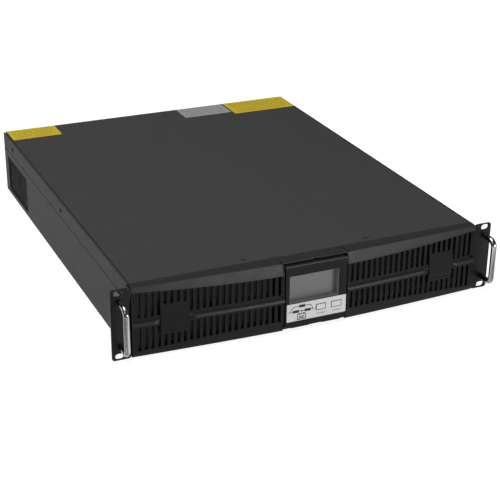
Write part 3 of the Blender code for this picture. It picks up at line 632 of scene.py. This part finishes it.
def band(x):
    """The plain band across the grille: a groove over a round bead, both fading out beside the badge."""
    x = abs(x)
    front = face(x)
    clear = min(1.0, max(0.0, (abs(x - BADGE.x) - BADGE_HALF - 0.6) / 4.5))
    clear = clear * clear * (3 - 2 * clear)
    ends = min(1.0, max(0.0, min(x - INNER, OUTER - x) / 1.5))
    groove, bead = 2.6 * clear * ends, 2.3 * clear
    points = [(front, BAND_TOP), (front - 0.1, 47.9), (front + groove, 47.2), (front + groove, 44.4),
              (front - bead * 0.35, 42.8), (front - bead, 39.6), (front - bead * 0.75, 38.4), (front, 37.7),
              (front, BAND_FOOT), (front + WALL, BAND_FOOT), (front + WALL, BAND_TOP)]
    return rounded_path(points, (0.3, 0.3, 0.5, 0.5, 0.9, 0.7, 0.4, 0.3, 0.4, 0.0, 0.0))


def end_plate(x):
    """The whole outline of the bezel, for the plates that close its ends."""
    x = abs(x)
    front = face(x)
    points = [(BACK, CROWN), (lip(x) + 0.6, CROWN - 0.6), (lip(x), CROWN - 1.0), (front, grille_top(x)),
              (front, grille_foot(x)), (front + tuck(x), BASE), (BACK, BASE)]
    return rounded_path(points, (0.3, 0.5, 0.4, 1.3, 1.4, 0.8, 0.3))


def rib(bm, side, low, high, foot, top, inset=0.2):
    """An upright bar of the grille with rounded front edges, following the bow of the face."""
    radius = min(0.55, (high - low) / 3)
    outline = [(low, WALL - 0.2), (low, inset + radius)]
    for corner, centre in ((0, low + radius), (1, high - radius)):
        for step in range(4):
            angle = QUARTER * (corner + step / 3)
            outline.append((centre - radius * math.cos(angle), inset + radius - radius * math.sin(angle)))
    outline += [(high, inset + radius), (high, WALL - 0.2)]
    bridge(bm, [[bm.verts.new((side * x, face(x) + deep, z)) for x, deep in outline] for z in (foot, top)])


def bezel(side, word):
    """One bezel with its slotted grille, and the raised pad where the badge sits."""
    bm = bmesh.new()
    stations = [side * x for x in spread(INNER, OUTER, 64)]
    for section in (upper_moulding, lower_moulding, band):
        loft(bm, stations, section)
    for low, high in ((INNER, INNER + END_WALL), (OUTER - END_WALL, OUTER)):
        loft(bm, [side * low, side * high], end_plate)

    slots = [FIRST + PITCH * i for i in range(COUNT)]
    rims = [INNER] + [edge for x in slots for edge in (x - SLOT_W / 2, x + SLOT_W / 2)] + [OUTER]
    over_band, under_band = BAND_TOP - 0.6, BAND_FOOT + 0.6
    for low, high in zip(rims[::2], rims[1::2]):
        x = (low + high) / 2
        rib(bm, side, low, high, over_band, grille_top(x) + 0.4)
        rib(bm, side, low, high, grille_foot(x) - 0.4, under_band)
    for foot, top in ((over_band, PAD_HIGH + 1.0), (PAD_LOW - 1.0, under_band)):
        rib(bm, side, BADGE.x - BADGE_HALF - 0.4, BADGE.x + BADGE_HALF + 0.4, foot, top, 0.1)
    bm.normal_update()
    finish(f"bezel_{word}_fine", bm, PLASTIC, f"bezel_{word}", 0.22, 2, angle=50.0)

    pad = bmesh.new()
    span = [side * x for x in spread(BADGE.x - BADGE_HALF, BADGE.x + BADGE_HALF, 12)]
    for foot, top, proud, sunk in ((PAD_LOW, PAD_HIGH, 0.5, 0.6), (PAD_LOW + 3.9, PAD_HIGH - 3.9, 1.3, 0.0)):
        loft(pad, span, lambda x: rounded_path(
            [(face(abs(x)) - proud, foot), (face(abs(x)) - proud, top), (face(abs(x)) + sunk, top),
             (face(abs(x)) + sunk, foot)], (0.35, 0.35, 0.0, 0.0)))
    for z in (PAD_LOW + 2.1, PAD_HIGH - 2.1):
        loft(pad, span, lambda x: [(face(abs(x)) - 1.2, z - 0.35), (face(abs(x)) - 1.2, z + 0.35),
                                   (face(abs(x)) - 0.3, z + 0.7), (face(abs(x)) - 0.3, z - 0.7)])
    finish(f"badge_{word}_fine", pad, PLASTIC, f"badge_{word}", 0.2, 2)


for side, word in SIDES:
    bezel(side, word)


# Display -----------------------------------------------------------------------------------------


def surround():
    """The strip over the display with its lip and finger notch, the wall behind and the sill below."""
    low, high = mm_box("display_surround")
    bm = bmesh.new()
    notch_half, notch_depth = 3.2, 1.5
    strip_foot = 84.2
    wall = 2.3
    sill_front, sill_foot, sill_top = -16.6, 1.0, 3.5
    catch_x, catch_half = 24.0, 3.0

    def strip(setback):
        front = low.y + setback
        points = [(high.y, high.z), (front + 1.1, high.z - 0.6), (front, high.z - 1.2),
                  (front + 0.3, strip_foot), (high.y, strip_foot)]
        return lambda x: rounded_path(points, (0.2, 0.5, 0.35, 0.3, 0.0))

    loft(bm, [low.x, -notch_half], strip(0.0))
    loft(bm, [-notch_half, notch_half], strip(notch_depth))
    loft(bm, [notch_half, high.x], strip(0.0))
    box(bm, (low.x, high.y - wall, low.z), (high.x, high.y, high.z - 0.6))
    loft(bm, [low.x, high.x], lambda x: rounded_path(
        [(sill_front, sill_foot), (sill_front, sill_top), (high.y, sill_top), (high.y, sill_foot)],
        (0.5, 0.5, 0.0, 0.0)))
    for x in (-catch_x, catch_x):
        box(bm, (x - catch_half, low.y + 2.2, strip_foot - 0.7),
            (x + catch_half, low.y + 5.5, strip_foot + 0.2))
    finish("display_surround_fine", bm, LIP, "display_surround")


def display():
    """The display's housing with its finger notch below, a window liner pale with painted light, and the LCD.
    """
    low, high = mm_box("display_housing")
    front, back = low.y, high.y
    window_low, window_high = mm_box("display_window")
    middle_x, middle_z = (window_low.x + window_high.x) / 2, (window_low.z + window_high.z) / 2
    width, height = window_high.x - window_low.x + 0.6, window_high.z - window_low.z + 0.6

    half, foot = high.x, low.z
    radius = 1.2
    round_x, round_z = half - radius, high.z - radius
    slant_width, slant_height = 8.0, 3.0
    notch_half, notch_mouth, notch_height = 7.0, 8.5, 1.6
    rim = [(-half, foot + slant_height), (-half + slant_width, foot), (-notch_mouth, foot),
           (-notch_half, foot + notch_height), (notch_half, foot + notch_height), (notch_mouth, foot),
           (half - slant_width, foot), (half, foot + slant_height)]
    rim += [(round_x + radius * math.cos(a), round_z + radius * math.sin(a)) for a in spread(0, QUARTER, 5)]
    rim += [(-round_x + radius * math.cos(a), round_z + radius * math.sin(a))
            for a in spread(QUARTER, math.pi, 5)]
    bm = flat_plate([rim, rounded(middle_x, middle_z, width, height, 0.8)], front, back)
    finish("display_housing_fine", bm, GLOSSY, "display_housing", 0.15, 1)

    lcd_front = front + 9.0
    liner = flat_plate([rounded(middle_x, middle_z, width - 0.1, height - 0.1, 0.8),
                        rounded(middle_x, middle_z, width - 1.3, height - 1.3, 0.4)],
                       front + 1.0, lcd_front + 1.0)
    # The liner is pale with painted light for the shaded walls of the window.
    finish("display_liner_painted_light", liner, LINER_PAINTED_LIGHT, "display_housing", 0.1, 1, replace=False)
    glass = flat_plate([rounded(middle_x, middle_z, width - 1.2, height - 1.2, 0.3)],
                       lcd_front, lcd_front + 1.2)
    finish("lcd_panel_fine", glass, LCD, "lcd_panel", 0.1, 1)


STROKE_RAISE = 0.05
SYMBOL_RAISE = 0.07


def strokes(bm, points, width, front):
    """A printed line through x and z points, a thin raised ribbon on the face at a depth."""
    points = [Vector(p) for p in points]
    for start, end in zip(points, points[1:]):
        direction = (end - start).normalized()
        across = Vector((-direction.y, direction.x)) * width / 2
        start, end = start - direction * width * 0.25, end + direction * width * 0.25
        corners = [start + across, end + across, end - across, start - across]
        bridge(bm, [[bm.verts.new((c.x, depth, c.y)) for c in corners]
                    for depth in (front - STROKE_RAISE, front)])


def frame_of(x, z, width, height):
    """The closed outline of a rectangle about its middle."""
    return [(x - width / 2, z - height / 2), (x + width / 2, z - height / 2), (x + width / 2, z + height / 2),
            (x - width / 2, z + height / 2), (x - width / 2, z - height / 2)]


def keypad():
    """The printed diagram of the power path, key outlines and caption dashes on the keypad film."""
    x0, front, z0 = mm_box("keypad_film")[0]
    path_z, bypass = z0 + 12.0, 6.2
    battery_x, battery_z = x0 + 18.7, z0 + 4.7
    bm = bmesh.new()

    def symbol(x, z, half_width, half_height):
        box(bm, (x - half_width, front - SYMBOL_RAISE, z - half_height),
            (x + half_width, front, z + half_height))

    strokes(bm, [(x0 + 1.8, path_z), (x0 + 34.0, path_z)], 0.7, front)
    strokes(bm, [(x0 + 35.8, path_z + 1.1), (x0 + 37.4, path_z), (x0 + 35.8, path_z - 1.1)], 0.6, front)
    for start, reach, end in ((5.0, 5.5, 15.0), (32.4, -4.5, 23.5)):
        arc = [(x0 + start + reach * (1 - math.cos(a)), path_z + bypass * math.sin(a))
               for a in spread(0, QUARTER, 8)]
        strokes(bm, arc + [(x0 + end, path_z + bypass)], 0.8, front)
    for x, z in ((11.5, 0.0), (19.2, bypass), (26.3, 0.0)):
        symbol(x0 + x, path_z + z, 3.9, 1.7)
    symbol(battery_x, path_z, 1.0, 0.8)
    strokes(bm, [(battery_x, path_z), (battery_x, path_z - 3.6)], 0.5, front)
    strokes(bm, frame_of(battery_x, battery_z, 10.6, 6.6), 0.9, front)
    for x in (-2.9, 2.9):
        symbol(battery_x + x, z0 + 8.7, 1.2, 0.7)
    for z in (3.2, 5.0):
        strokes(bm, [(battery_x - 3.5, z0 + z), (battery_x + 3.5, z0 + z)], 1.1, front)

    captions = bmesh.new()
    for node in ("button_left", "button_right"):
        key = middle(node)
        key_low, key_high = mm_box(node)
        key_size = key_high - key_low
        strokes(bm, frame_of(key.x, key.z, key_size.x - 2.0, key_size.z - 1.8), 0.6, front)
        x = key.x - 5.0
        for length in (2.3, 1.4, 2.8, 1.8):
            strokes(captions, [(x, z0 + 4.6), (x + length, z0 + 4.6)], 0.8, front)
            x += length + 0.8
    finish("keypad_diagram", bm, PRINT, "keypad_film", replace=False)
    finish("keypad_captions", captions, PRINT_GREY, "keypad_film", replace=False)
    for node in ("button_left", "button_right"):
        refined(node, 0.25, KEY_CAP)


surround()
display()
keypad()


# Sheet metal -------------------------------------------------------------------------------------


def top_cover():
    """The cover: one folded sheet with a rounded bend and a shallow seam along each upper edge."""
    low, high = mm_box("top_cover")
    half, top, foot, sheet = high.x, high.z, low.z, 1.2
    outside = [(half, foot), (half, top - 1.1), (half - 0.7, top - 0.3), (half - 1.3, top - 0.3),
               (half - 1.4, top - 1.9), (half - 3.2, top - 1.9), (half - 3.3, top - 0.1), (half - 3.7, top)]
    inside = [(half - 4.3, top - sheet - 0.1), (half - 4.3, top - 2.7), (half - 3.6, top - 3.1),
              (half - 2.6, top - 3.1), (half - 1.9, top - 3.1), (half - sheet - 0.1, top - 3.1),
              (half - sheet, top - 3.8), (half - sheet, foot)]
    path = outside + [(-x, z) for x, z in reversed(outside)]
    path += [(-x, z) for x, z in reversed(inside)] + inside
    bm = bmesh.new()
    rows = [[bm.verts.new((x, depth, z)) for x, z in path] for depth in (low.y, high.y)]
    bridge(bm, rows, capped=False)
    total = len(path)
    for row in rows:
        for i in range(total // 2 - 1):
            bm.faces.new((row[i], row[i + 1], row[total - 2 - i], row[total - 1 - i]))
    finish("top_cover_fine", bm, PAINT, "top_cover", 0.25, 2, angle=55.0)


def vent():
    """The left wall's vent: a sheet punched with staggered six-sided holes."""
    low, high = mm_box("side_vent_screen")
    rim = [(low.y, low.z), (high.y, low.z), (high.y, high.z), (low.y, high.z)]
    pitch, rise, radius = 3.6, 3.1, 1.45
    first_depth, first_z = low.y + 6.2, low.z + 4.4
    holes = []
    rows = int((high.z - low.z - 8.0) / rise)
    columns = int((high.y - low.y - 12.0) / pitch)
    for row in range(rows + 1):
        for column in range(columns + 1 - row % 2):
            depth = first_depth + pitch * (column + 0.5 * (row % 2))
            holes.append(ring(depth, first_z + rise * row, radius, 6, math.pi / 6))
    bm = flat_plate([rim] + holes, low.x, high.x, "X")
    # The screen's near-black colour is painted shade for its recess.
    finish("side_vent_screen_fine", bm, VENT_PAINTED_SHADE, "side_vent_screen")


top_cover()
vent()
refined("chassis", 0.45, angle=40.0)
refined("front_panel", 0.15)
refined("battery_door", 0.3)
refined("rear_panel", 0.15)


def pan_head(name, place, axis, outward, radius, height, look, node, replace=False):
    """A machine screw's domed head with a cross recess, outward (1 or -1) along the axis."""
    bm = bmesh.new()
    profile = [(-0.4, radius * 0.94), (0.0, radius)]
    profile += [(height * math.sin(a), radius * (0.72 + 0.28 * math.cos(a)))
                for a in spread(0.35, QUARTER, 5)]
    profile += [(height * 1.02, radius * 0.35)]
    turned(bm, place, axis, [(outward * reach, r) for reach, r in profile])
    made = finish(name, bm, look, node, replace=replace)
    index = "XYZ".index(axis)
    centre = Vector(place)
    centre[index] += outward * height * 1.05
    cross = bmesh.new()
    for across in [i for i in range(3) if i != index]:
        size = Vector([radius * 0.22] * 3)
        size[index] = height
        size[across] = radius * 1.05
        box(cross, centre - size / 2, centre + size / 2)
    cutter = placed(name + "_cross", scene_mesh(name + "_cross", cross))
    cut = made.modifiers.new("cross", "BOOLEAN")
    cut.operation = "DIFFERENCE"
    cut.object = cutter
    cut.use_self = True
    recessed = applied(made)
    made.modifiers.clear()
    made.data = recessed
    smooth(made)
    bpy.data.objects.remove(cutter, do_unlink=True)


COVER_HIGH = mm_box("top_cover")[1]
COVER_SCREW_RADIUS = 2.9
for side, word in SIDES:
    for row in ("middle", "rear"):
        node = f"cover_screw_{word}_{row}"
        spot = middle(node)
        pan_head(node + "_fine", (COVER_HIGH.x * side, spot.y, spot.z), "X", side, COVER_SCREW_RADIUS, 1.5,
                 SCREW_BLACK, node, replace=True)
for side, word in SIDES:
    pan_head(f"front_screw_{word}", (side * 78.0, 7.0, COVER_HIGH.z), "Z", 1, COVER_SCREW_RADIUS, 0.42,
             SCREW_BLACK, "top_cover")


# Ears and handles --------------------------------------------------------------------------------


def handle(word):
    """A chromed round bar bent into a U, its feet against the ear."""
    low, high = mm_box(f"handle_{word}")
    radius, bend = (high.x - low.x) / 2, 8.0
    x, half = (low.x + high.x) / 2, (high.z - low.z) / 2 - radius
    centre_z, grip, root = (low.z + high.z) / 2, low.y + radius, high.y
    line = [(root, half)]
    line += [(grip + bend - bend * math.sin(a), half - bend + bend * math.cos(a))
             for a in spread(0, QUARTER, 14)]
    line += [(depth, -z) for depth, z in reversed(line)]
    bm = bmesh.new()
    rings = []
    for i, (depth, z) in enumerate(line):
        before, after = Vector(line[max(0, i - 1)]), Vector(line[min(len(line) - 1, i + 1)])
        direction = (after - before).normalized()
        normal = Vector((-direction.y, direction.x))
        rings.append([bm.verts.new((x + radius * math.cos(a), depth + normal.x * radius * math.sin(a),
                                    centre_z + z + normal.y * radius * math.sin(a)))
                      for a in round_angles(24)])
    bridge(bm, rings)
    finish(f"handle_{word}_fine", bm, CHROME, f"handle_{word}")


for _, word in SIDES:
    refined(f"ear_{word}", 0.3)
    handle(word)


# Stickers ----------------------------------------------------------------------------------------


PRINT_THICK = 0.03
PRINT_CYCLE = 97


def printed_sticker(node, look, rows, margin, weight, seed):
    """A sticker with faint rows of dashes that stand for small print, its sheet thinner by the print."""
    low, high = mm_box(node)
    sheet_top = high.z - PRINT_THICK
    sheet = bmesh.new()
    box(sheet, low, (high.x, high.y, sheet_top))
    finish(node + "_fine", sheet, SLOT_LOOKS[SLOT_OF[node]], node)
    bm = bmesh.new()
    gap = (high.y - low.y - 2 * margin) / (rows - 1)
    value = seed
    for row in range(rows):
        depth = high.y - margin - gap * row
        x = low.x + margin
        limit = high.x - margin - (8.0 if row == rows - 1 else 0.0)
        while x < limit:
            value = (value * 73 + 41) % PRINT_CYCLE
            length = min(2.0 + value / PRINT_CYCLE * 6.0, limit - x)
            box(bm, (x, depth - weight / 2, sheet_top), (x + length, depth + weight / 2, high.z))
            x += length + 1.4
    finish(node + "_print", bm, look, node, replace=False)


printed_sticker("yellow_sticker_left", PRINT_OCHRE, 6, 5.5, 1.5, 5)
printed_sticker("yellow_sticker_right", PRINT_OCHRE, 7, 6.5, 1.6, 11)
printed_sticker("silver_sticker", PRINT_DIM, 7, 5.0, 1.2, 17)


# Rear --------------------------------------------------------------------------------------------

REAR_SCREW_RADIUS, REAR_SCREW_HEIGHT = 2.6, 1.2
FAN_SCREW_OFFSET = 36
for word in ("outer", "inner"):
    refined(f"fan_frame_{word}", 0.5, FAN_PLASTIC)
    refined(f"fan_rotor_{word}", 0.2, FAN_PLASTIC)
    refined(f"fan_guard_{word}", 0.2, ZINC)
    guard = middle(f"fan_guard_{word}")
    guard_back = mm_box(f"fan_guard_{word}")[1].y
    for i, (x, z) in enumerate(((-1, -1), (1, -1), (-1, 1), (1, 1))):
        pan_head(f"fan_screw_{word}_{i + 1}",
                 (guard.x + x * FAN_SCREW_OFFSET, guard_back, guard.z + z * FAN_SCREW_OFFSET), "Y", 1,
                 REAR_SCREW_RADIUS, REAR_SCREW_HEIGHT, SCREW_BLACK, f"fan_guard_{word}")
for node, bevel in (("mains_inlet", 0.5), ("outlet_bank_lower", 0.35), ("outlet_bank_upper", 0.35),
                    ("battery_socket", 0.4), ("breaker_body", 0.4), ("breaker_button", 0.3)):
    refined(node, bevel)
for node, bevel in (("card_slot_cover", 0.3), ("serial_port", 0.25), ("usb_port", 0.2),
                    ("battery_tray", 0.2)):
    refined(node, bevel, ZINC)
cover_low, cover_high = mm_box("card_slot_cover")
for x, word in ((cover_low.x + 4.0, "left"), (cover_high.x - 4.0, "right")):
    pan_head(f"card_screw_{word}", (x, cover_high.y, (cover_low.z + cover_high.z) / 2), "Y", 1,
             REAR_SCREW_RADIUS, REAR_SCREW_HEIGHT, SCREW_ZINC, "card_slot_cover")


def contacts():
    """The three pins of the mains inlet and the serial port's two rows of pins."""
    inlet = middle("mains_inlet")
    back = mm_box("mains_inlet")[1].y
    half_width, half_height = 1.15, 2.15
    bm = bmesh.new()
    for dx, dz in ((-7.0, -2.0), (0.0, 2.0), (7.0, -2.0)):
        x, z = inlet.x + dx, inlet.z + dz
        box(bm, (x - half_width, back - 16.0, z - half_height), (x + half_width, back - 5.8, z + half_height))
    finish("mains_inlet_contacts", bm, BRASS, "mains_inlet", 0.25, replace=False)
    port = middle("serial_port")
    outside = mm_box("serial_port")[1].y
    pin_pitch, row_offset = 2.76, 1.42
    bm = bmesh.new()
    for row, count in ((1, 5), (-1, 4)):
        for i in range(count):
            x = port.x + (i - (count - 1) / 2) * pin_pitch
            turned(bm, (x, outside, port.z + row * row_offset), "Y",
                   [(-0.5, 0.5), (0.15, 0.5), (0.3, 0.25)], 10)
    finish("serial_pins", bm, BRASS, "serial_port", replace=False)


contacts()


# Stage -------------------------------------------------------------------------------------------


FLOOR_SIZE = 40.0
FLOOR_GLOW = 0.84
WORLD_LEFT, WORLD_RIGHT = 0.15, 0.12
SOFTBOXES = (
    # name, place, point it faces, width, height, watts
    ("left", (-1.25, -0.7, 1.3), (0.0, 0.0, 0.0), 1.2, 1.2, 3.0),
    ("overhead", (-0.6, 0.2, 2.2), (0.0, 0.0, 0.0), 1.8, 1.8, 50.0),
    ("front", (0.85, -2.2, 0.62), (0.0, -0.25, 0.05), 0.9, 0.5, 34.0),
)
LENS_MM, SENSOR_MM = 91.62, 36.0
CAMERA_PLACE = (-0.6048, -1.4272, 0.6897)
CAMERA_TURN = (65.48, -0.54, -24.06)


def stage():
    """A pale floor that glows a little, and a white world dimmer than the softboxes."""
    bpy.ops.mesh.primitive_plane_add(size=FLOOR_SIZE)
    floor = bpy.context.object
    floor.name = "floor"
    n = Nodes("floor_paper")
    n.link(n.mix(n.noise(400.0, 2.0), (0.30, 0.30, 0.30), (0.32, 0.32, 0.32)), n.shader.inputs["Base Color"])
    n.shader.inputs["Roughness"].default_value = 0.8
    n.shader.inputs["Specular IOR Level"].default_value = 0.0
    n.shader.inputs["Emission Color"].default_value = (1.0, 1.0, 1.0, 1.0)
    n.shader.inputs["Emission Strength"].default_value = FLOOR_GLOW
    floor.data.materials.append(n.material)
    world = bpy.data.worlds.new("studio")
    world.use_nodes = True
    tree = world.node_tree
    place, split, fall = [tree.nodes.new(kind) for kind in
                          ("ShaderNodeTexCoord", "ShaderNodeSeparateXYZ", "ShaderNodeMapRange")]
    tree.nodes["Background"].inputs["Color"].default_value = (1.0, 1.0, 1.0, 1.0)
    for socket, value in (("From Min", -1.0), ("From Max", 1.0),
                          ("To Min", WORLD_LEFT), ("To Max", WORLD_RIGHT)):
        fall.inputs[socket].default_value = value
    tree.links.new(place.outputs["Generated"], split.inputs[0])
    tree.links.new(split.outputs["X"], fall.inputs["Value"])
    tree.links.new(fall.outputs["Result"], tree.nodes["Background"].inputs["Strength"])
    bpy.context.scene.world = world
    bpy.context.scene.view_settings.view_transform = "Standard"


def softbox(name, place, aim, width, height, power):
    data = bpy.data.lights.new(name, "AREA")
    data.shape = "RECTANGLE"
    data.size, data.size_y = width, height
    data.energy = power
    made = placed(name, data)
    made.location = place
    made.rotation_euler = (Vector(aim) - Vector(place)).to_track_quat("-Z", "Y").to_euler()


def camera():
    data = bpy.data.cameras.new("camera")
    data.lens = LENS_MM
    data.sensor_width = SENSOR_MM
    made = placed("camera", data)
    made.location = CAMERA_PLACE
    made.rotation_euler = Euler([math.radians(a) for a in CAMERA_TURN])
    bpy.context.scene.camera = made


stage()
for light in SOFTBOXES:
    softbox(*light)
camera()
